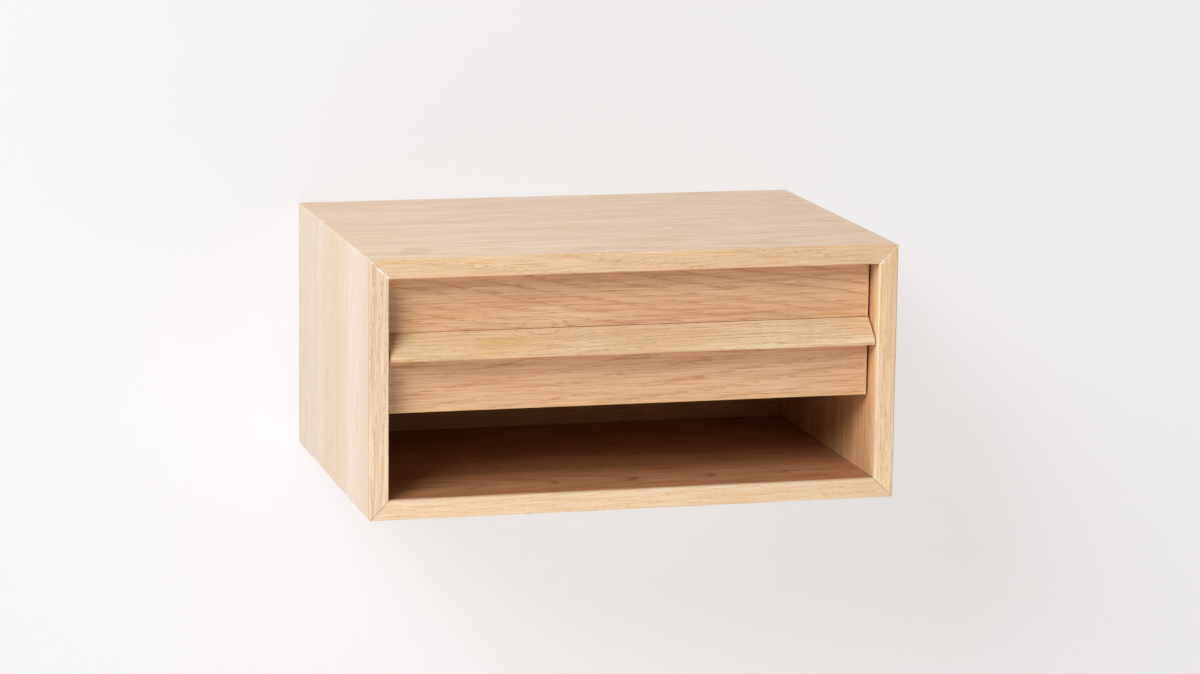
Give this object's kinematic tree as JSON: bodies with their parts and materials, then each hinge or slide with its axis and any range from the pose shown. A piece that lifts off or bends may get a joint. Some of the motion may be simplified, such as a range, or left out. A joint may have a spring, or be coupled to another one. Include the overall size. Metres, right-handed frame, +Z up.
{
  "type": "floating nightstand",
  "caption": "Wall-hung oak nightstand: mitred box with an inset drawer, a moulded full-width finger pull and an open shelf below.",
  "frame": {"origin": "centre of the wall batten's rear face, on the wall plane and midway across the nightstand", "axes": "+X to the right as seen from the front, +Y into the wall, +Z up"},
  "size_m": [0.5, 0.35, 0.24],
  "materials": {
    "oak_veneer": "matt lacquered oak veneer",
    "oak_solid": "matt lacquered solid oak",
    "drawer_veneer": "matt lacquered oak veneer, warmer",
    "birch_ply": "clear lacquered birch",
    "pine": "planed, bare",
    "zinc_steel": "zinc plated",
    "retainer_steel": "bare steel, lightly greased",
    "grey_rubber": "matt"
  },
  "bodies": {
    "carcass": {"top_panel": "oak_veneer", "bottom_panel": "oak_veneer", "left_side": "oak_veneer", "right_side": "oak_veneer", "back_panel": "oak_veneer", "top_front_lipping": "oak_solid", "bottom_front_lipping": "oak_solid", "left_front_lipping": "oak_solid", "right_front_lipping": "oak_solid", "mitre_tongue_top_left": "birch_ply", "mitre_tongue_top_right": "birch_ply", "mitre_tongue_bottom_left": "birch_ply", "mitre_tongue_bottom_right": "birch_ply", "cabinet_cleat": "pine", "wall_cleat": "pine", "cleat_screw_1": "zinc_steel", "cleat_screw_2": "zinc_steel", "cleat_screw_3": "zinc_steel", "cleat_screw_4": "zinc_steel", "left_cabinet_member": "zinc_steel", "left_cabinet_screw_front": "zinc_steel", "left_cabinet_screw_rear": "zinc_steel", "right_cabinet_member": "zinc_steel", "right_cabinet_screw_front": "zinc_steel", "right_cabinet_screw_rear": "zinc_steel", "rear_stop_left": "grey_rubber", "rear_stop_right": "grey_rubber"},
    "drawer": {"upper_front_panel": "drawer_veneer", "lower_front_panel": "drawer_veneer", "handle_rail": "oak_solid", "upper_front_top_edge": "oak_solid", "lower_front_bottom_edge": "oak_solid", "upper_front_left_edge": "oak_solid", "upper_front_right_edge": "oak_solid", "lower_front_left_edge": "oak_solid", "lower_front_right_edge": "oak_solid", "drawer_inner_front": "birch_ply", "drawer_back": "birch_ply", "drawer_bottom": "birch_ply", "drawer_left_side": "birch_ply", "drawer_right_side": "birch_ply", "front_screw_1": "zinc_steel", "front_screw_2": "zinc_steel", "front_screw_3": "zinc_steel", "front_screw_4": "zinc_steel", "bottom_screw_1": "zinc_steel", "bottom_screw_2": "zinc_steel", "left_drawer_member": "zinc_steel", "left_drawer_screw_front": "zinc_steel", "left_drawer_screw_rear": "zinc_steel", "right_drawer_member": "zinc_steel", "right_drawer_screw_front": "zinc_steel", "right_drawer_screw_rear": "zinc_steel"},
    "left_intermediate": {"left_intermediate_member": "zinc_steel"},
    "left_outer_balls": {"left_outer_ball_retainer": "retainer_steel"},
    "left_inner_balls": {"left_inner_ball_retainer": "retainer_steel"},
    "right_intermediate": {"right_intermediate_member": "zinc_steel"},
    "right_outer_balls": {"right_outer_ball_retainer": "retainer_steel"},
    "right_inner_balls": {"right_inner_ball_retainer": "retainer_steel"}
  },
  "joints": [
    {"name": "drawer_slide", "type": "slide", "parent": "carcass", "child": "drawer", "axis": [0, -1, 0], "range_m": [0, 0.25]},
    {"name": "left_intermediate_slide", "type": "slide", "parent": "carcass", "child": "left_intermediate", "axis": [0, -1, 0], "range_m": [0, 0.125]},
    {"name": "left_outer_balls_slide", "type": "slide", "parent": "carcass", "child": "left_outer_balls", "axis": [0, -1, 0], "range_m": [0, 0.0625]},
    {"name": "left_inner_balls_slide", "type": "slide", "parent": "carcass", "child": "left_inner_balls", "axis": [0, -1, 0], "range_m": [0, 0.1875]},
    {"name": "right_intermediate_slide", "type": "slide", "parent": "carcass", "child": "right_intermediate", "axis": [0, -1, 0], "range_m": [0, 0.125]},
    {"name": "right_outer_balls_slide", "type": "slide", "parent": "carcass", "child": "right_outer_balls", "axis": [0, -1, 0], "range_m": [0, 0.0625]},
    {"name": "right_inner_balls_slide", "type": "slide", "parent": "carcass", "child": "right_inner_balls", "axis": [0, -1, 0], "range_m": [0, 0.1875]}
  ],
  "couplings": [
    {"joint": "left_intermediate_slide", "follows": "drawer_slide", "ratio": 0.5},
    {"joint": "left_outer_balls_slide", "follows": "drawer_slide", "ratio": 0.25},
    {"joint": "left_inner_balls_slide", "follows": "drawer_slide", "ratio": 0.75},
    {"joint": "right_intermediate_slide", "follows": "drawer_slide", "ratio": 0.5},
    {"joint": "right_outer_balls_slide", "follows": "drawer_slide", "ratio": 0.25},
    {"joint": "right_inner_balls_slide", "follows": "drawer_slide", "ratio": 0.75}
  ]
}
